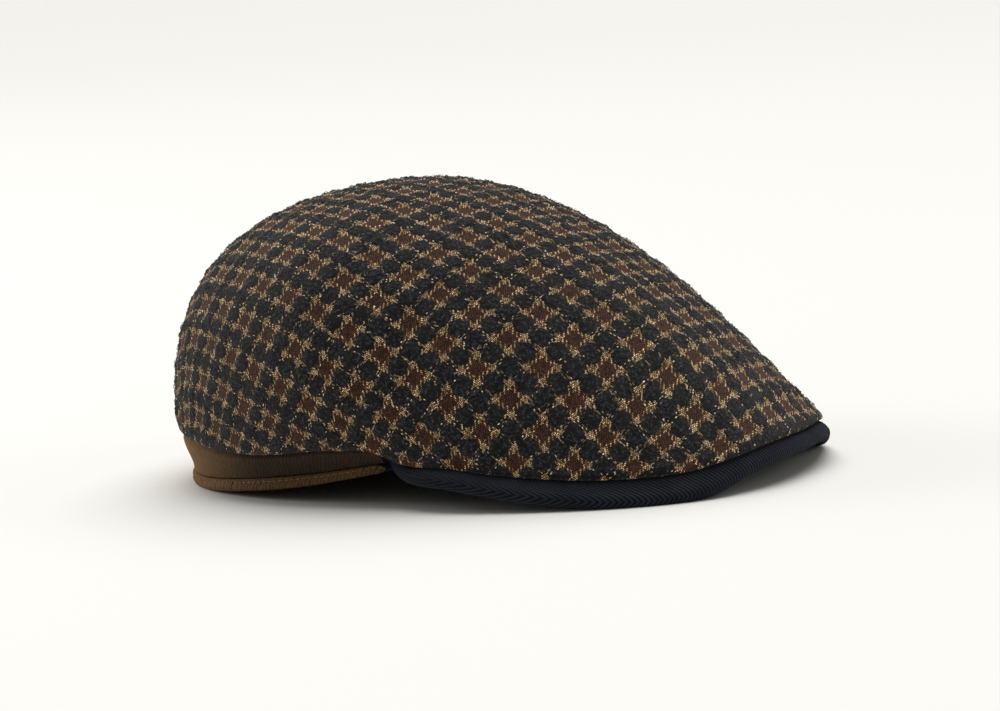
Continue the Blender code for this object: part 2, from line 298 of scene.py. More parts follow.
def closed_strip(name, points, cloth, material, slot, node):
    """A piece from a grid of sections, each closed, with a fan over both ends.

    Its cloth is in millimetres and ends with the places of the fans' two middles.
    """
    rows, columns = points.shape[:2]
    quads, caps = grid_quads(rows, columns, close_columns=True), end_fans(rows, columns)
    points = np.concatenate([points.reshape(-1, 3), points[[0, -1]].mean(axis=1)])
    return dress(new_piece(name, points, quads, material, caps, cloth / CLOTH_UNIT), slot, node)


def dress(piece, slot, *nodes):
    """Makes a piece ride with the cap and stand for its nodes, which it hides; its slot is not used."""
    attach(piece, "root")
    if nodes:
        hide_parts(*nodes)
    return piece


# ---- Materials ----

def colour(code):
    """An sRGB hex colour as linear red, green, blue and alpha."""
    parts = np.array([int(code[i:i + 2], 16) for i in (1, 3, 5)]) / 255
    linear = np.where(parts <= 0.04045, parts / 12.92, ((parts + 0.055) / 1.055) ** 2.4)
    return (*map(float, linear), 1.0)


def fill(tree, node, **inputs):
    """Sets or links a node's inputs, given by name or by place as i0, i1."""
    for name, value in inputs.items():
        by_place = name[0] == "i" and name[1:].isdigit()
        socket = node.inputs[int(name[1:])] if by_place else node.inputs[name.replace("_", " ")]
        if isinstance(value, bpy.types.NodeSocket):
            tree.links.new(value, socket)
        else:
            socket.default_value = value
    return node


def add(tree, kind, settings=None, **inputs):
    """Adds a node with its settings and its inputs."""
    node = tree.nodes.new(kind)
    for name, value in (settings or {}).items():
        setattr(node, name, value)
    return fill(tree, node, **inputs)


def new_material(name):
    """A material with an empty tree but for its shader: (material, tree, shader)."""
    material = bpy.data.materials.new(name)
    material.use_nodes = True
    return material, material.node_tree, material.node_tree.nodes["Principled BSDF"]


def ramped(tree, value, stops, interpolation="LINEAR"):
    """The colour of a value in a Color Ramp with stops, as (place, hex colour)."""
    node = add(tree, "ShaderNodeValToRGB", Fac=value)
    ramp = node.color_ramp
    ramp.interpolation = interpolation
    while len(ramp.elements) < len(stops):
        ramp.elements.new(0.5)
    for element, (place, code) in zip(ramp.elements, stops):
        element.position = place
        element.color = colour(code)
    return node.outputs[0]


def worked(tree, operation, a, b=0.0, c=0.0):
    """The result of a Math node."""
    return add(tree, "ShaderNodeMath", {"operation": operation}, i0=a, i1=b, i2=c).outputs[0]


def scaled(tree, vector, scale):
    """A vector or colour times a number."""
    return add(tree, "ShaderNodeVectorMath", {"operation": "SCALE"}, Vector=vector, Scale=scale).outputs[0]


def ranged(tree, value, *ends, interpolation="LINEAR"):
    """A value carried from between the first two of its ends to between the last two."""
    ends = {f"i{k + 1}": end for k, end in enumerate(ends)}
    return add(tree, "ShaderNodeMapRange", {"interpolation_type": interpolation}, Value=value, **ends).outputs[0]


def mixed(tree, share, first, second):
    """A colour between two others."""
    return add(tree, "ShaderNodeMix", {"data_type": "RGBA"}, i0=share, i6=first, i7=second).outputs[2]


def noise(tree, place, scale, detail, roughness=0.5):
    """Soft noise from 0 to 1 at a place."""
    return add(tree, "ShaderNodeTexNoise", Vector=place, Scale=scale, Detail=detail, Roughness=roughness).outputs[0]


def cloth_millimetres(tree):
    """The place on a piece's cloth, in millimetres."""
    return scaled(tree, add(tree, "ShaderNodeUVMap", {"uv_map": "Cloth"}).outputs[0], CLOTH_UNIT)


def object_place(tree):
    """The place in the cap's own frame, in metres."""
    return add(tree, "ShaderNodeTexCoord").outputs["Object"]


RUST, TAN_DEEP, TAN_PALE, BOUCLE = "#5f3b29", "#c28f54", "#f0d5a8", "#16191e"


def tweed_material():
    """Wool tweed in 2/2 twill: rust and tan stripes both ways, between stripes of looped navy boucle yarn.

    Each thread keeps one colour, and each float over two threads is a rounded, slightly different dash.
    The boucle is thick: it hides most rust floats beside it, and leaves the tan ones as pale ticks.
    The fine wool hairs give the whole a pale sheen at its edges.
    """
    material, tree, shader = new_material("Wool tweed, boucle check")
    place = cloth_millimetres(tree)
    sway = add(tree, "ShaderNodeTexNoise", Vector=place, Scale=0.30, Detail=2.0)
    sway = add(tree, "ShaderNodeVectorMath", {"operation": "MULTIPLY_ADD"}, i0=sway.outputs["Color"],
               i1=(SWAY, SWAY, 0.0), i2=place).outputs[0]
    split = add(tree, "ShaderNodeSeparateXYZ", Vector=sway)
    threads, numbers, reaches, stripes, looped = [], [], [], [], []
    for k in (0, 1):
        threads.append(worked(tree, "DIVIDE", worked(tree, "SUBTRACT", split.outputs[k], SWAY / 2), THREAD))
        numbers.append(worked(tree, "FLOOR", threads[k]))
        middle = worked(tree, "ADD", numbers[k], 0.5)
        reaches.append(worked(tree, "PINGPONG", middle, CHECK / THREAD / 2))
        share = worked(tree, "DIVIDE", reaches[k], CHECK / THREAD / 2)
        for tone in (TAN_DEEP, TAN_PALE):
            stops = [(0.0, RUST), (2 * RUST_HALF / CHECK, tone), (2 * TAN_END / CHECK, BOUCLE)]
            stripes.append(ramped(tree, share, stops, "CONSTANT"))
        looped.append(worked(tree, "GREATER_THAN", reaches[k], TAN_END / THREAD))
    # Which thread is on top, how its float rounds over across and along itself, and its own chance
    turn = worked(tree, "FLOORED_MODULO", worked(tree, "SUBTRACT", numbers[0], numbers[1]), 4.0)
    warp_up = worked(tree, "LESS_THAN", turn, 1.5)
    rounds, chances = [], []
    for k in (0, 1):
        across = worked(tree, "SINE", worked(tree, "MULTIPLY", worked(tree, "FRACT", threads[k]), math.pi))
        travel = worked(tree, "ADD", worked(tree, "SUBTRACT", threads[1 - k], numbers[k]), (1.0, -2.0)[k])
        lie = worked(tree, "FLOOR", worked(tree, "DIVIDE", travel, 4.0))
        travel = worked(tree, "FLOORED_MODULO", travel, 4.0)
        length = worked(tree, "MAXIMUM", worked(tree, "SINE", worked(tree, "MULTIPLY", travel, math.pi / 2)), 0.02)
        rounds.append(worked(tree, "MULTIPLY", across, worked(tree, "POWER", length, 0.4)))
        seed = add(tree, "ShaderNodeCombineXYZ", X=numbers[k], Y=lie, Z=float(k))
        chances.append(add(tree, "ShaderNodeTexWhiteNoise", {"noise_dimensions": "3D"}, Vector=seed.outputs[0]))

    def on_top(weft, warp, kind=0):
        """The value of the thread that is on top: a number, or with kind 4 a colour."""
        settings = {"data_type": "RGBA"} if kind else {}
        node = add(tree, "ShaderNodeMix", settings, i0=warp_up, **{f"i{2 + kind}": weft, f"i{3 + kind}": warp})
        return node.outputs[2 if kind else 0]

    raised = on_top(rounds[1], rounds[0])
    chance = on_top(chances[1].outputs[0], chances[0].outputs[0])
    deep, pale = on_top(stripes[2], stripes[0], 4), on_top(stripes[3], stripes[1], 4)
    stripe = mixed(tree, chance, deep, pale)
    own, below = on_top(looped[1], looped[0]), on_top(looped[0], looped[1])
    aside, beyond = on_top(reaches[1], reaches[0]), on_top(reaches[0], reaches[1])
    # Rust floats beside the boucle mostly sink in it; tan ones sink the more, the further they run into it
    tan = worked(tree, "GREATER_THAN", aside, RUST_HALF / THREAD)
    sunk = ranged(tree, beyond, TAN_END / THREAD, CHECK / THREAD / 2, 0.55, 0.95)
    sunk = add(tree, "ShaderNodeMix", i0=tan, i2=0.88, i3=sunk).outputs[0]
    hidden = worked(tree, "MULTIPLY", below, worked(tree, "LESS_THAN", chance, sunk))
    cover = worked(tree, "MAXIMUM", own, hidden)
    # The curls also lie over the middle of each side of a check, and leave its four corners
    lengthways = worked(tree, "PINGPONG", threads[0], CHECK / THREAD / 2)
    crossways = worked(tree, "PINGPONG", threads[1], CHECK / THREAD / 2)
    corner = worked(tree, "DIVIDE", worked(tree, "MINIMUM", lengthways, crossways), RUST_HALF / THREAD)
    side = worked(tree, "SUBTRACT", 1.0, worked(tree, "MINIMUM", corner, 1.0))
    lap = worked(tree, "MULTIPLY_ADD", side, 2.4, worked(tree, "MAXIMUM", lengthways, crossways))
    lap = worked(tree, "GREATER_THAN", worked(tree, "MULTIPLY_ADD", chance, 1.8, lap), TAN_END / THREAD + 0.9)
    cover = worked(tree, "MAXIMUM", cover, worked(tree, "MULTIPLY", lap, worked(tree, "CEIL", side)))
    # Wool is never one even colour: a slow drift, a mottle from hair to hair, and each float its own
    hair = noise(tree, place, 3.4, 3.0, 0.7)
    mottle = ranged(tree, noise(tree, place, 0.35, 3.0), 0.3, 0.7, 0.75, 1.25)
    fleck = ranged(tree, hair, 0.3, 0.7, 0.7, 1.3)
    own_shade = worked(tree, "MULTIPLY_ADD", chance, 1.2, 0.45)
    # Painted shade where each float dips between threads and a painted highlight along its middle, then multiplied
    # by the wool's own tone
    painted_shade_and_tone = ranged(tree, raised, 0.50, 0.96, 0.03, 1.42)
    for part in (mottle, fleck, own_shade):
        painted_shade_and_tone = worked(tree, "MULTIPLY", painted_shade_and_tone, part)
    curls = add(tree, "ShaderNodeTexVoronoi", {"feature": "SMOOTH_F1"}, Vector=place, Scale=0.72, Smoothness=0.5)
    curl_shade = ranged(tree, curls.outputs["Distance"], 0.10, 0.70, 0.95, 0.0)
    curl_shade = worked(tree, "MULTIPLY_ADD", worked(tree, "SUBTRACT", hair, 0.5), 1.5, curl_shade)
    # The curls' colour follows their height: painted shade in the pits between them and a painted highlight on their
    # tops
    stops = [(0.0, "#08090b"), (0.45, BOUCLE), (0.8, "#2d3239"), (1.0, "#565c64")]
    curl_colour = scaled(tree, ramped(tree, curl_shade, stops), mottle)
    final = mixed(tree, cover, scaled(tree, stripe, painted_shade_and_tone), curl_colour)
    height = add(tree, "ShaderNodeMix", i0=cover, i2=worked(tree, "MULTIPLY", raised, 0.5), i3=curl_shade).outputs[0]
    height = worked(tree, "MULTIPLY_ADD", hair, 0.3, height)
    bump = add(tree, "ShaderNodeBump", Height=height, Strength=0.85, Distance=0.0006)
    fill(tree, shader, Base_Color=final, Normal=bump.outputs[0], Roughness=0.92, Specular_IOR_Level=0.2,
         Sheen_Weight=0.26, Sheen_Roughness=0.5, Sheen_Tint=colour("#b5aca0"))
    return material


def yarn_material(name, scale, detail, stops, roughness, specular=0.2, sheen=0.0):
    """Loose yarn or thread: its colour changes along it, between the stops, by noise of a scale per metre."""
    material, tree, shader = new_material(name)
    tone = noise(tree, object_place(tree), scale, detail)
    fill(tree, shader, Base_Color=ramped(tree, tone, stops), Roughness=roughness, Specular_IOR_Level=specular,
         Sheen_Weight=sheen)
    return material


def cord_material():
    """Navy cotton needlecord: cut pile in fine wales with painted shade in the grooves, and a cool bloom at a slant.
    """
    material, tree, shader = new_material("Cotton needlecord")
    split = add(tree, "ShaderNodeSeparateXYZ", Vector=cloth_millimetres(tree))
    wales = worked(tree, "MULTIPLY", split.outputs[1], math.pi / WALE)
    ridge = worked(tree, "ABSOLUTE", worked(tree, "SINE", wales))
    pile = noise(tree, object_place(tree), 2600.0, 2.0, 0.6)
    rubbed = noise(tree, object_place(tree), 90.0, 2.0)
    # Painted shade in the grooves and a painted highlight on the ridges, with random tone from the pile and a slower
    # noise
    lit = worked(tree, "MULTIPLY_ADD", worked(tree, "SUBTRACT", pile, 0.5), 0.6, ridge)
    lit = worked(tree, "MULTIPLY_ADD", worked(tree, "SUBTRACT", rubbed, 0.5), 0.5, lit)
    stops = [(0.0, "#030406"), (0.45, "#0b0d12"), (0.85, "#191c25"), (1.0, "#282b36")]
    height = worked(tree, "ADD", ridge, worked(tree, "MULTIPLY", pile, 0.25))
    bump = add(tree, "ShaderNodeBump", Height=height, Strength=0.9, Distance=0.0005)
    fill(tree, shader, Base_Color=ramped(tree, lit, stops), Normal=bump.outputs[0], Roughness=0.85,
         Specular_IOR_Level=0.2, Sheen_Weight=0.21, Sheen_Roughness=0.35, Sheen_Tint=colour("#6f7890"))
    return material


RIB_DEPTH, RIB_LEAN = 0.0007, -5.5


def plain_cloth_material(name, codes, lit_back, shaded_temples):
    """Plain brown cloth with upright ribs crossed by a finer weft, with painted light at the back and painted shade
    at the temples.
    """
    material, tree, shader = new_material(name)
    place = cloth_millimetres(tree)
    split = add(tree, "ShaderNodeSeparateXYZ", Vector=place)
    drift = noise(tree, place, 0.25, 3.0)
    hair = noise(tree, place, 3.0, 3.0, 0.7)
    ahead = add(tree, "ShaderNodeSeparateXYZ", Vector=object_place(tree))
    # The foot of each rib stands a little further back than its top
    lean = worked(tree, "MULTIPLY", worked(tree, "MULTIPLY", ahead.outputs[1], RIB_LEAN), split.outputs[1])
    upright = worked(tree, "MULTIPLY", worked(tree, "ADD", split.outputs[0], lean), 1 / RIB)
    upright = worked(tree, "MULTIPLY_ADD", drift, 1.5, upright)
    ribs = worked(tree, "ABSOLUTE", worked(tree, "SINE", worked(tree, "MULTIPLY", upright, math.pi)))
    level = worked(tree, "MULTIPLY_ADD", split.outputs[1], 2.5 / RIB, drift)
    weft = worked(tree, "ABSOLUTE", worked(tree, "SINE", worked(tree, "MULTIPLY", level, math.pi)))
    height = worked(tree, "MULTIPLY_ADD", weft, 0.6, ribs)
    half_hair = worked(tree, "MULTIPLY", hair, 0.5)
    # Painted shade in the grooves between ribs and under the weft, and a painted highlight on their tops, with
    # random tone from hair and drift
    tone = worked(tree, "MULTIPLY_ADD", height, 0.30, half_hair)
    tone = worked(tree, "MULTIPLY_ADD", drift, 0.35, tone)
    # Painted light and shade: the colour is raised at the back, where light falls, and lowered towards the temples,
    # which lie in shade
    falloff = ranged(tree, ahead.outputs[0], -0.130, -0.060, lit_back, shaded_temples, interpolation="SMOOTHSTEP")
    shown = scaled(tree, ramped(tree, tone, list(zip((0.25, 0.6, 1.0), codes))), falloff)
    height = worked(tree, "ADD", height, half_hair)
    bump = add(tree, "ShaderNodeBump", Height=height, Strength=0.6, Distance=RIB_DEPTH)
    fill(tree, shader, Base_Color=shown, Normal=bump.outputs[0], Roughness=0.88, Specular_IOR_Level=0.25,
         Sheen_Weight=0.08, Sheen_Tint=colour("#c9a878"))
    return material


# ---- The tweed crown ----

# How the cloth lies on the crown: (power of ahead, power of left, millimetres along the warp, along the weft)
CLOTH_LAY = (
    (0, 0, 85.97, 131.27),
    (0, 1, 92.32, 26.90),
    (0, 2, -21.13, -23.32),
    (0, 3, -2.07, 1.32),
    (0, 4, 14.09, 8.28),
    (0, 5, 0.27, 0.83),
    (0, 6, -3.18, -0.86),
    (1, 0, 41.93, -91.55),
    (1, 1, 12.15, -3.65),
    (1, 2, -7.46, -2.15),
    (1, 3, -11.29, -5.87),
    (1, 4, 1.39, 2.70),
    (1, 5, 3.36, 0.86),
    (2, 0, -37.74, -23.57),
    (2, 1, 8.25, 3.93),
    (2, 2, 21.31, 18.56),
    (2, 3, 0.18, 1.14),
    (2, 4, -5.32, -4.40),
    (3, 0, -8.71, 2.46),
    (3, 1, -17.11, -11.37),
    (3, 2, 5.27, 2.37),
    (3, 3, 6.39, 4.31),
    (4, 0, 10.72, 5.96),
    (4, 1, -3.44, -1.59),
    (4, 2, -4.61, -3.67),
    (5, 0, 1.37, -0.88),
    (5, 1, 4.24, 2.76),
    (6, 0, -0.99, -0.29),
)


def cloth_place(angle, down):
    """The place on the cloth, in millimetres along both threads, of points of the crown.

    The crown is opened flat round its top, each point ahead and to the left by its distance down the
    meridian in decimetres. The place is a polynomial of both, so the cloth shifts and stretches smoothly.
    """
    share = np.linspace(0, 1, 40)
    radius, height = crown_meridian(angle[..., None], down[..., None] * share)
    distance = 10 * np.hypot(np.diff(radius, axis=-1), np.diff(height, axis=-1)).sum(axis=-1)
    ahead, left = distance * np.cos(angle), distance * np.sin(angle)
    return sum((ahead**i * left**k)[..., None] * (warp, weft) for i, k, warp, weft in CLOTH_LAY)


def off_centre(place):
    """Millimetres from a place of the cloth to the middle of its check, along both threads."""
    return np.abs((place + CHECK / 2) % CHECK - CHECK / 2)


def boucle_cover(place):
    """How much boucle yarn lies at a place of the cloth: 1 where its two stripes cross, less where one runs."""
    shares = smooth_step(off_centre(place), TAN_END - 0.7, TAN_END + 0.7)
    return 0.6 * shares.max(axis=-1) + 0.4 * shares.prod(axis=-1)


BOUCLE_FOOT, LUMP_HEIGHT, TWILL_HEIGHT = 0.00010, 0.00095, 0.00012


def tweed_relief(place):
    """Height of the tweed's face in metres: boucle stands up in lumps of two sizes, the flat twill hardly at all."""
    u, v = place[..., 0], place[..., 1]
    cover = boucle_cover(place)
    lump = 0.65 * lumps(u, v, LUMP, 5) + 0.35 * lumps(u, v, SMALL_LUMP, 9)
    return cover * (BOUCLE_FOOT + LUMP_HEIGHT * lump) + TWILL_HEIGHT * (1 - cover) * soft_noise(u, v, 1.2, 3)


AROUND, DOWN_OUT, DOWN_EDGE, DOWN_IN = 560, 150, 7, 14


def make_crown(material):
    """The tweed: its outer face, raised by the cloth's relief, a rounded edge and its inner face.

    Points at the edge lie on a half circle about the middle of the wall, half a wall above the end.
    """
    turn = (np.arange(AROUND) * 2 * math.pi / AROUND)[:, None]
    length = np.hypot(crown_outline(turn), CROWN_HEIGHT - edge_height(turn)) * 1.1
    last = 1 - TWEED / 2 / length
    outer_down = np.linspace(0.012, 1, DOWN_OUT)[None, :] * last
    outer = to_points(turn, *crown_meridian(turn, outer_down))
    inner_down = np.linspace(1, 0.05, DOWN_IN)[None, :] * last
    inner = to_points(turn, *crown_inside(turn, inner_down))
    swing = np.linspace(0, math.pi, DOWN_EDGE + 2)[None, 1:-1, None]
    middle = (outer[:, -1:] + inner[:, :1]) / 2
    across = outer[:, -1:] - middle
    onward = outer[:, -1:] - outer[:, -2:-1]
    onward *= TWEED / 2 / np.linalg.norm(onward, axis=-1, keepdims=True)
    edge = middle + np.cos(swing) * across + np.sin(swing) * onward
    # The grid's first and last rows are neighbours, so their slopes are taken round the join
    wrapped = np.concatenate([outer[-2:], outer, outer[:2]])
    normals = surface_normals(wrapped)[2:-2]
    place = cloth_place(turn, outer_down)
    falloff = 1 - 0.75 * smooth_step(outer_down, 0.985 * last, last)
    outer = outer + normals * (tweed_relief(place) * falloff)[..., None]
    points = np.concatenate([outer, edge, inner], axis=1)
    columns = points.shape[1]
    onto_edge = place[:, -1:] - place[:, -2:-1]
    onto_edge *= 1000 * TWEED / 2 / np.maximum(np.linalg.norm(onto_edge, axis=-1, keepdims=True), 1e-6)
    cloth = np.concatenate([
        place,
        place[:, -1:] + swing * onto_edge,
        cloth_place(turn, inner_down),
    ], axis=1)
    top = to_points(np.zeros(2), np.zeros(2), np.array([0, CROWN_HEIGHT - TWEED]))
    top[0] = outer[:, 0].mean(axis=0)
    quads = grid_quads(AROUND, columns, close_rows=True)
    ring = np.arange(AROUND)
    after = (ring + 1) % AROUND
    pole, under = AROUND * columns, AROUND * columns + 1
    fans = [
        np.stack([np.full(AROUND, pole), ring * columns, after * columns], axis=1),
        np.stack([np.full(AROUND, under), after * columns + columns - 1, ring * columns + columns - 1], axis=1),
    ]
    points = np.concatenate([points.reshape(-1, 3), top])
    cloth = np.concatenate([cloth.reshape(-1, 2), np.repeat(place[:1, 0], 2, axis=0)]) / CLOTH_UNIT
    piece = new_piece("tweed_crown", points, quads, material, np.concatenate(fans), cloth)
    return dress(piece, "tweed", "crown")


LOWEST_THREAD = 0.97  # how far down the crown the loose threads reach


def scattered(rng, count):
    """Points spread over the crown, with what they need to carry a thread.

    Gives the points, their small steps down and round, the normals, the places on the cloth, the steps of
    those places, and weights that even out the points' spread over the area.
    """
    angle = rng.uniform(0, 2 * math.pi, count)
    down = LOWEST_THREAD * np.sqrt(rng.uniform(0.003, 1, count))
    step = 1e-3
    turns, downs = (angle, angle, angle + step), (down, down + step, down)
    here, below, beside = (to_points(t, *crown_meridian(t, d)) for t, d in zip(turns, downs))
    place, place_below, place_beside = (cloth_place(t, d) for t, d in zip(turns, downs))
    below, beside = below - here, beside - here
    normal = np.cross(below, beside)
    area = np.linalg.norm(normal, axis=1)
    normal /= area[:, None]
    weight = area / np.maximum(down, 0.05)
    weight /= np.percentile(weight, 90)
    return here, below, beside, normal, place, place_below - place, place_beside - place, weight


def make_threads(name, material, spine, aside, radius):
    """Closed tubes round spines of points, three-sided, each ring square to its thread."""
    count, each = len(spine), spine.shape[1] * 3
    tangent = np.gradient(spine, axis=1)
    tangent /= np.linalg.norm(tangent, axis=-1, keepdims=True)
    across = np.broadcast_to(aside[:, None], spine.shape)
    third = np.cross(tangent, across)
    ring = (np.arange(3) * 2 * math.pi / 3)[None, None, :, None]
    points = spine[:, :, None] + radius[:, None, None, None] * (
        np.cos(ring) * across[:, :, None] + np.sin(ring) * third[:, :, None])
    starts = (np.arange(count) * each)[:, None, None]
    one = grid_quads(spine.shape[1], 3, close_columns=True)
    ends = np.array([[0, 2, 1], [each - 3, each - 2, each - 1]])
    return dress(new_piece(name, points.reshape(-1, 3), starts + one, material, starts + ends), "tweed")


LOOPS, FLOATS = 5500, 6800  # at most, in each piece
LOOP_SIZES = ((0.0005, 0.0012), (0.0003, 0.0008), (-0.0004, 0.0004))  # reach along the cloth, rise, bow aside
LOOP_RADIUS, FLOAT_RADIUS = (0.00010, 0.00019), (0.00017, 0.00026)
FLOAT_REACH, FLOAT_LIFT, FLOAT_DIP = (0.0005, 0.0010), 0.00018, 0.0004


def make_loops(name, material, seed):
    """Loose loops of boucle: small arcs of thread that leave the cloth and go back into it.

    Each arc's point at share s stands at reach cos(pi s) along the cloth and rise sin(pi s) above it.
    """
    rng = np.random.default_rng(seed)
    here, below, _, normal, place, _, _, weight = scattered(rng, LOOPS * 5)
    kept = np.flatnonzero(rng.uniform(0, 1, len(here)) < boucle_cover(place) ** 2 * weight)[:LOOPS]
    here, below, normal, place = here[kept], below[kept], normal[kept], place[kept]
    below /= np.linalg.norm(below, axis=1, keepdims=True)
    heading = rng.uniform(0, 2 * math.pi, len(kept))[:, None]
    ahead = np.cos(heading) * below + np.sin(heading) * np.cross(normal, below)
    aside = np.cross(normal, ahead)
    base = here + normal * (tweed_relief(place)[:, None] - 0.0002)
    reach, rise, bow = (rng.uniform(*size, len(kept))[:, None, None] for size in LOOP_SIZES)
    s = np.linspace(0, 1, 5)[None, :, None] * math.pi
    spine = (base[:, None] + np.cos(s) * reach * ahead[:, None] + np.sin(s) * rise * normal[:, None]
             + np.sin(s) * bow * aside[:, None])
    return make_threads(name, material, spine, aside, rng.uniform(*LOOP_RADIUS, len(kept)))


def make_floats(material):
    """Long floats of the tan threads, where they run from the checks' corners over the boucle.

    Each lies along its own thread, follows the relief of the cloth and dips into it at both ends.
    """
    rng = np.random.default_rng(13)
    here, below, beside, normal, place, step_below, step_beside, weight = scattered(rng, FLOATS * 16)
    away = off_centre(place)
    k = (rng.uniform(0, 1, len(here)) < 0.5).astype(int)
    rows = np.arange(len(here))
    own, beyond = away[rows, k], away[rows, 1 - k]
    wanted = weight * smooth_step(beyond, TAN_END - 1.6, TAN_END - 0.8)
    wanted *= 1.0 - 0.5 * smooth_step(beyond, TAN_END, CHECK / 2)
    wanted *= (own > RUST_HALF + 0.2) & (own < TAN_END + 0.1)
    kept = np.flatnonzero(rng.uniform(0, 1, len(here)) < wanted)[:FLOATS]
    k, normal, place = k[kept], normal[kept], place[kept]
    # A thread is numbered along one of the cloth's two lengths and runs along the other
    run = np.eye(2)[1 - k]
    one, other = step_below[kept], step_beside[kept]
    turned = one[:, 0] * other[:, 1] - one[:, 1] * other[:, 0]
    share_below = (run[:, 0] * other[:, 1] - run[:, 1] * other[:, 0]) / turned
    share_beside = (one[:, 0] * run[:, 1] - one[:, 1] * run[:, 0]) / turned
    ahead = share_below[:, None] * below[kept] + share_beside[:, None] * beside[kept]
    stretch = np.linalg.norm(ahead, axis=1, keepdims=True)
    ahead /= stretch
    reach = rng.uniform(*FLOAT_REACH, len(kept))[:, None]
    s = np.linspace(-1, 1, 4)[None, :]
    followed = place[:, None] + (s * reach / stretch)[..., None] * run[:, None]
    lift = tweed_relief(followed) * 0.9 + FLOAT_LIFT - FLOAT_DIP * s**2
    spine = here[kept][:, None] + (s * reach)[..., None] * ahead[:, None] + lift[..., None] * normal[:, None]
    radius = rng.uniform(*FLOAT_RADIUS, len(kept))
    return make_threads("tan_floats", material, spine, np.cross(normal, ahead), radius)


# ---- The needlecord peak ----

PEAK_AROUND = 1500
FOLD_COLUMN = 6  # columns of the grid from the start of the lip to the cloth's fold
WALE_DEPTH = 0.00008
WALE_FAN = 0.55  # 1 keeps the wales side by side, 0 spreads them like spokes


def make_peak(material):
    """The peak: a quadratic curve from its inner edge to a point under the tweed, then a straight piece to the lip.

    The section stands half the thickness off either side of them, with a half circle round the lip.
    Its cloth lies flat along each section, out to a fold low on the lip and back again, so the wales,
    which run ahead in the middle and fan out a little to both sides, meet in arrowheads at the fold.
    """
    end = math.radians(PEAK_END_ANGLE)
    angle = np.linspace(-end, end, PEAK_AROUND)[:, None]
    droop = np.radians(PEAK_DROOP) * along(PEAK_SECTIONS, "droop", angle)
    reach = np.clip(along(PEAK_SECTIONS, "reach", angle), 0, 1)
    half = half_thickness(angle)
    rim_radius, rim_height = crown_inside(angle, np.ones_like(angle))
    full = lip_outline(angle)
    tucked = opening_outline(angle) - GAP - half
    inner_radius = tucked - half
    inner_height = TEMPLE_HEIGHT + (FOREHEAD_HEIGHT - TEMPLE_HEIGHT) * along(PEAK_SECTIONS, "inner", angle)
    outer_radius = tucked + (full - tucked) * reach
    under_radius = outer_radius - (full - rim_radius) * reach - half / 2 * (1 - reach)
    under_height = rim_height - GAP - half / np.cos(PEAK_EASE * droop)
    outer_height = under_height - (outer_radius - under_radius) * np.tan(droop)
    width = under_radius - inner_radius
    handle_radius = under_radius - 0.4 * width
    handle_height = under_height + 0.4 * width * np.tan(PEAK_EASE * droop)
    w = np.linspace(0, 1, 9)[None, :]
    weights = (1 - w) ** 2, 2 * w * (1 - w), w * w
    radius = weights[0] * inner_radius + weights[1] * handle_radius + weights[2] * under_radius
    height = weights[0] * inner_height + weights[1] * handle_height + weights[2] * under_height
    straight = np.linspace(0, 1, 12)[None, 1:]
    radius = np.concatenate([radius, under_radius + (outer_radius - under_radius) * straight], axis=1)
    height = np.concatenate([height, under_height + (outer_height - under_height) * straight], axis=1)
    run, rise = np.gradient(radius, axis=1), np.gradient(height, axis=1)
    run, rise = run / np.hypot(run, rise), rise / np.hypot(run, rise)
    swing = np.radians(np.linspace(84, -84, 22))[None, :]
    lip_run, lip_rise = run[:, -1:], rise[:, -1:]
    section_radius = np.concatenate([
        radius - half * rise,
        radius[:, -1:] + half * (np.cos(swing) * lip_run - np.sin(swing) * lip_rise),
        (radius + half * rise)[:, ::-1],
    ], axis=1)
    section_height = np.concatenate([
        height + half * run,
        height[:, -1:] + half * (np.cos(swing) * lip_rise + np.sin(swing) * lip_run),
        (height - half * run)[:, ::-1],
    ], axis=1)
    steps = np.hypot(np.diff(section_radius, axis=1), np.diff(section_height, axis=1))
    length = np.concatenate([np.zeros((PEAK_AROUND, 1)), np.cumsum(steps, axis=1)], axis=1)
    fold = length[:, [radius.shape[1] + FOLD_COLUMN]]
    flat_radius = 1000 * (inner_radius + fold - np.abs(length - fold))
    fanned = WALE_FAN * angle
    cloth = np.stack([flat_radius * np.cos(fanned), flat_radius * np.sin(fanned) / WALE_FAN], axis=-1)
    points = to_points(angle, section_radius, section_height)
    normals = surface_normals(points)
    groove = 1 - np.abs(np.sin(math.pi * cloth[..., 1] / WALE))
    ends = smooth_step(-np.abs(angle), math.radians(-PEAK_CORNER_ANGLE), math.radians(2 - PEAK_CORNER_ANGLE))
    points = points - normals * (WALE_DEPTH * groove**1.5 * ends)[..., None]
    points[..., 2] = np.maximum(points[..., 2], 0)
    cloth = np.concatenate([cloth.reshape(-1, 2), cloth[[0, -1], 0]])
    return closed_strip("cord_peak", points, cloth, material, "needlecord", "peak")


# ---- The band and its hem ----

BAND_AROUND = 700
BILLOW, DRAW_IN = 0.0019, 0.0004
BAND_PUCKER, HEM_PUCKER = 3.2, 2.7  # in millimetres
BAND_TURN, HEM_TURN = 95, 82  # millimetres of cloth in one radian round the head


def band_angles(count=BAND_AROUND):
    start = math.radians(TEMPLE_ANGLE)
    return np.linspace(start, 2 * math.pi - start, count)[:, None]


def hem_line(angle):
    """Height of the band's lower line."""
    return TEMPLE_HEIGHT * along(BAND_SECTIONS, "rise", angle)


def hem_height(angle):
    return HEM_HEIGHT * along(BAND_SECTIONS, "hem", angle)


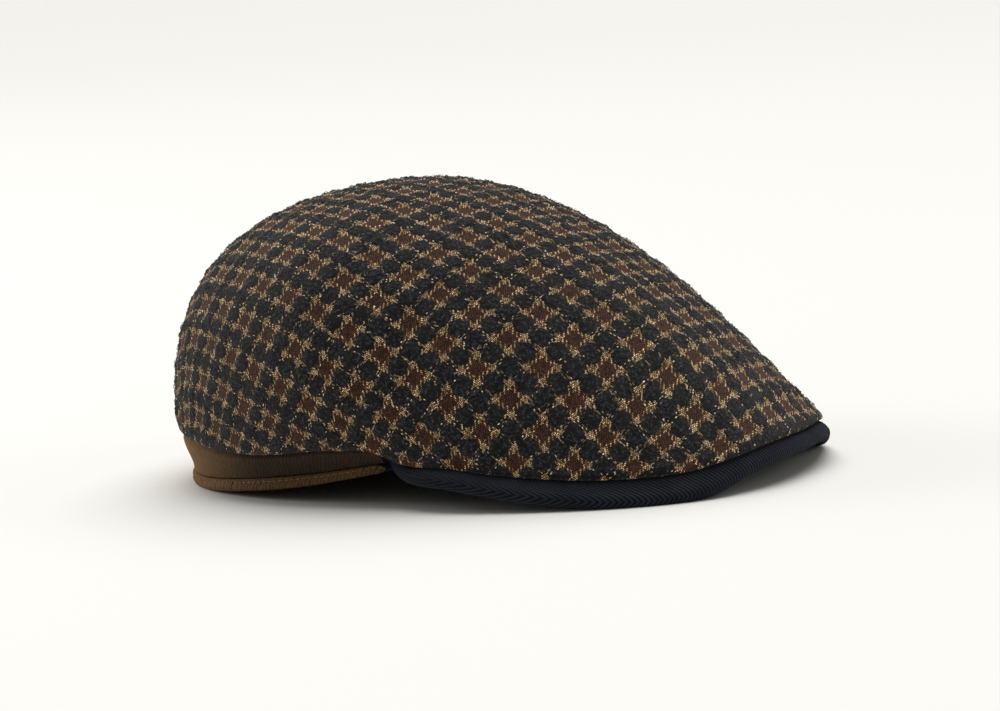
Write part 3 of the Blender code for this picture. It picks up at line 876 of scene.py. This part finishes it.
def cloth_lengths(points):
    """Places in millimetres on the cloth of a grid: length along its first column, and on along each row.

    Two more, for the middles of a closed strip's ends, are the cloth's first corner.
    """
    along_rows = np.linalg.norm(np.diff(points[:, 0], axis=0), axis=-1)
    down_rows = np.linalg.norm(np.diff(points, axis=1), axis=-1)
    u = np.concatenate([[0], np.cumsum(along_rows)])[:, None] * np.ones(points.shape[1])
    v = np.concatenate([np.zeros((len(points), 1)), np.cumsum(down_rows, axis=1)], axis=1)
    return np.concatenate([1000 * np.stack([u, v], axis=-1).reshape(-1, 2), np.zeros((2, 2))])


def make_band(material):
    """The plain strip: from inside the crown's edge it billows out below it, and draws in to the hem in puckers."""
    angle = band_angles()
    foot_radius = opening_outline(angle, (HEM_THICKNESS + BAND_WALL) / 2)
    foot_height = hem_line(angle) + hem_height(angle) + GAP
    rise = CROWN_HEIGHT - edge_height(angle)
    tuck = 1 - BAND_TUCK / rise / 2
    share = np.linspace(0, 1, 5)[None, :]
    hidden = crown_inside(angle, tuck + (1 - tuck) * share, TWEED + GAP)
    edge_radius, edge_level = (column[:, -1:] for column in hidden)
    share = np.linspace(0, 1, 19)[None, 1:]
    radius = np.concatenate([hidden[0], edge_radius + (foot_radius - edge_radius) * share], axis=1)
    level = np.concatenate([hidden[1], edge_level + (foot_height - edge_level) * share], axis=1)
    low = np.concatenate([np.zeros((1, 5)), share], axis=1)
    pucker = soft_noise(angle * BAND_TURN + 0 * low, low * 2.0 + 0 * angle, BAND_PUCKER, 21) - 0.5
    billow = BILLOW * smooth_step(low, 0.02, 0.22) * (1 - smooth_step(low, 0.22, 0.95))
    radius = radius + billow - DRAW_IN * smooth_step(low, 0.1, 0.8) * (0.6 + pucker)
    inside = (radius - BAND_WALL)[:, ::-1]
    radius, level = np.concatenate([radius, inside], axis=1), np.concatenate([level, level[:, ::-1]], axis=1)
    points = to_points(angle, radius, level)
    return closed_strip("brown_band", points, cloth_lengths(points), material, "band_cloth", "back_band")


STITCH_PITCH, STITCH_SIDES = 0.0030, 6
STITCH_LINE = 0.72  # how far up the hem the stitches run
STITCH_RADIUS, STITCH_LIFT, STITCH_DIP = 0.00026, 0.00022, 0.00045
HEM_SQUARENESS = 0.72


def hem_section(angle, turn):
    """(radius, height) round the hem: a squared oval, drawn in along its line of stitches outside."""
    # The ends are rounded off over one hem's height
    near_end = (np.abs(np.arctan2(np.sin(angle), np.cos(angle))) - math.radians(TEMPLE_ANGLE)) / 0.05
    slim = np.sqrt(np.clip(1 - (1 - np.clip(near_end, 0.05, 1)) ** 2, 0, 1))
    across = np.sign(np.cos(turn)) * np.abs(np.cos(turn)) ** HEM_SQUARENESS * slim
    upward = np.sign(np.sin(turn)) * np.abs(np.sin(turn)) ** HEM_SQUARENESS * slim
    draw = np.exp(-((upward / 2 + 0.5 - STITCH_LINE) / 0.10) ** 2) * (across > 0)
    pucker = lumps(angle * HEM_TURN + 0 * turn, 2.6 * upward + 0 * angle, HEM_PUCKER, 31)
    radius = opening_outline(angle, HEM_THICKNESS / 2)
    radius = radius + (across * (0.68 + 0.32 * pucker) - 0.22 * draw) * HEM_THICKNESS / 2
    height = hem_line(angle) + hem_height(angle) * (1 + upward * (0.94 + 0.06 * pucker)) / 2
    return radius, np.maximum(height, 0)


def make_hem(material):
    """The turned hem, from temple to temple."""
    angle = band_angles()
    turn = -np.linspace(0, 2 * math.pi, 40, endpoint=False)[None, :] + math.pi
    points = to_points(angle, *hem_section(angle, turn))
    return closed_strip("stitched_hem", points, cloth_lengths(points), material, "hem_cloth", "band_hem")


def make_stitches(material):
    """The row of top stitches: short threads that rise from the hem and dip at both ends, each a closed tube."""
    fine = band_angles(4000)[:, 0]
    turn = math.asin((2 * STITCH_LINE - 1) ** (1 / HEM_SQUARENESS))
    line = to_points(fine, *hem_section(fine, turn))
    length = np.concatenate([[0], np.cumsum(np.linalg.norm(np.diff(line, axis=0), axis=1))])
    count = int(length[-1] / STITCH_PITCH)
    middles = (np.arange(count) + 0.5) * length[-1] / count
    s = np.linspace(-1, 1, 6)[None, :]
    place = middles[:, None] + 0.40 * STITCH_PITCH * s
    angle = np.interp(place, length, fine)
    radius, height = hem_section(angle, turn)
    spine = to_points(angle, radius + STITCH_LIFT - STITCH_DIP * s**4, height)
    tangent = np.gradient(spine, axis=1)
    tangent /= np.linalg.norm(tangent, axis=-1, keepdims=True)
    upward = np.broadcast_to(np.array([0.0, 0.0, 1.0]), spine.shape)
    out = np.cross(tangent, upward)
    out /= np.linalg.norm(out, axis=-1, keepdims=True)
    ring = (np.arange(STITCH_SIDES) * 2 * math.pi / STITCH_SIDES)[None, None, :, None]
    thick = STITCH_RADIUS * (1 - 0.5 * s**4)[..., None, None]
    points = spine[:, :, None] + thick * (np.cos(ring) * out[:, :, None] + np.sin(ring) * upward[:, :, None])
    each = s.size * STITCH_SIDES
    starts = (np.arange(count) * each)[:, None, None]
    quads = starts + grid_quads(s.size, STITCH_SIDES, close_columns=True)[:, ::-1]
    fan = np.array([[0, k, k + 1] for k in range(1, STITCH_SIDES - 1)])
    caps = starts + np.concatenate([fan, each - STITCH_SIDES + fan[:, ::-1]])
    return dress(new_piece("hem_stitches", points.reshape(-1, 3), quads, material, caps), "hem_cloth")


# ---- Floor, light and camera ----

VIEW_ANGLE, VIEW_HEIGHT, VIEW_ROLL, VIEW_DISTANCE = 29.8, 10.0, 4.3, 1.5
PIXELS_PER_METRE = 2400.0
IMAGE_WIDTH, IMAGE_HEIGHT = 1000, 711
FOOT_PIXEL = (437.4, 464.0)  # where the foot of the crown's axis shows


def make_camera():
    """The camera: it stands at its distance from the axis foot and aims so that the foot falls on its pixel."""
    a, e, r = map(math.radians, (VIEW_ANGLE, VIEW_HEIGHT, VIEW_ROLL))
    away = Vector((-math.sin(a) * math.cos(e), math.cos(a) * math.cos(e), -math.sin(e)))
    level = Vector((math.cos(a), math.sin(a), 0))
    up = level.cross(away)
    right = level * math.cos(r) - up * math.sin(r)
    up = level * math.sin(r) + up * math.cos(r)
    foot = Vector((AXIS_X, 0, 0))
    stand = foot - away * VIEW_DISTANCE
    aim = foot + right * ((IMAGE_WIDTH / 2 - FOOT_PIXEL[0]) / PIXELS_PER_METRE)
    aim += up * ((FOOT_PIXEL[1] - IMAGE_HEIGHT / 2) / PIXELS_PER_METRE)
    ahead = (aim - stand).normalized()
    right = (right - ahead * right.dot(ahead)).normalized()
    up = right.cross(ahead)
    camera = bpy.data.cameras.new("camera")
    camera.sensor_width = 36
    camera.lens = camera.sensor_width * (aim - stand).length * PIXELS_PER_METRE / IMAGE_WIDTH
    place = bpy.data.objects.new("camera", camera)
    bpy.context.scene.collection.objects.link(place)
    place.matrix_world = Matrix((right, up, -ahead)).transposed().to_4x4()
    place.location = stand
    bpy.context.scene.camera = place


def make_light(name, energy, size, place):
    """A square soft light that faces the cap."""
    light = bpy.data.lights.new(name, "AREA")
    light.energy, light.size = energy, size
    lamp = bpy.data.objects.new(name, light)
    lamp.location = place
    lamp.rotation_euler = (Vector((0, 0, 0.05)) - Vector(place)).to_track_quat("-Z", "Y").to_euler()
    bpy.context.scene.collection.objects.link(lamp)


def make_studio():
    """A wide pale floor, an even light from above and behind, and soft boxes at the cap's back and front."""
    span = np.array([(-30.0, -30.0, 0.0), (30.0, -30.0, 0.0), (30.0, 30.0, 0.0), (-30.0, 30.0, 0.0)])
    material, tree, shader = new_material("Painted studio floor")
    fill(tree, shader, Base_Color=colour("#e7e6e2"), Roughness=1.0, Specular_IOR_Level=0.0)
    new_piece("floor", span, [(0, 1, 2, 3)], material)
    world = bpy.data.worlds.new("studio")
    world.use_nodes = True
    fill(world.node_tree, world.node_tree.nodes["Background"], Color=colour("#f4f3ef"), Strength=0.22)
    bpy.context.scene.world = world
    high = bpy.data.lights.new("high", "SUN")
    high.energy, high.angle = 3.1, math.radians(70)
    lamp = bpy.data.objects.new("high", high)
    lamp.rotation_euler = Vector((0.12, -0.38, -1.0)).to_track_quat("-Z", "Y").to_euler()
    bpy.context.scene.collection.objects.link(lamp)
    make_light("back", 20.3, 1.3, (-2.4, -0.33, 0.92))
    make_light("front", 8.2, 1.3, (2.4, 0.98, 1.03))
    bpy.context.scene.view_settings.view_transform = "Standard"


make_crown(tweed_material())
loops = yarn_material(
    "Boucle wool loops", 900.0, 1.0, [(0.3, "#14171c"), (0.55, "#272c34"), (0.75, "#444b55")], 0.9, sheen=0.25
)
tan_yarn = yarn_material(
    "Tan wool yarn", 700.0, 2.0, [(0.3, "#6b553b"), (0.5, "#a58a63"), (0.72, "#d9c4a2")], 0.9, sheen=0.2
)
sewing = yarn_material("Cotton sewing thread", 1500.0, 2.0, [(0.3, "#5d4527"), (0.7, "#8a6c42")], 0.6, specular=0.5)
make_loops("boucle_loops_a", loops, 11)
make_loops("boucle_loops_b", loops, 12)
make_floats(tan_yarn)
make_peak(cord_material())
# The last two numbers of each brown cloth are its painted light at the back and its painted shade at the temples
make_band(plain_cloth_material("Brown ribbed cloth", ("#241a10", "#664b2f", "#a37b4d"), 1.12, 0.12))
make_hem(plain_cloth_material("Brown hem cloth", ("#2a1c10", "#6a4c30", "#a37c4b"), 1.15, 0.48))
make_stitches(sewing)
make_studio()
make_camera()
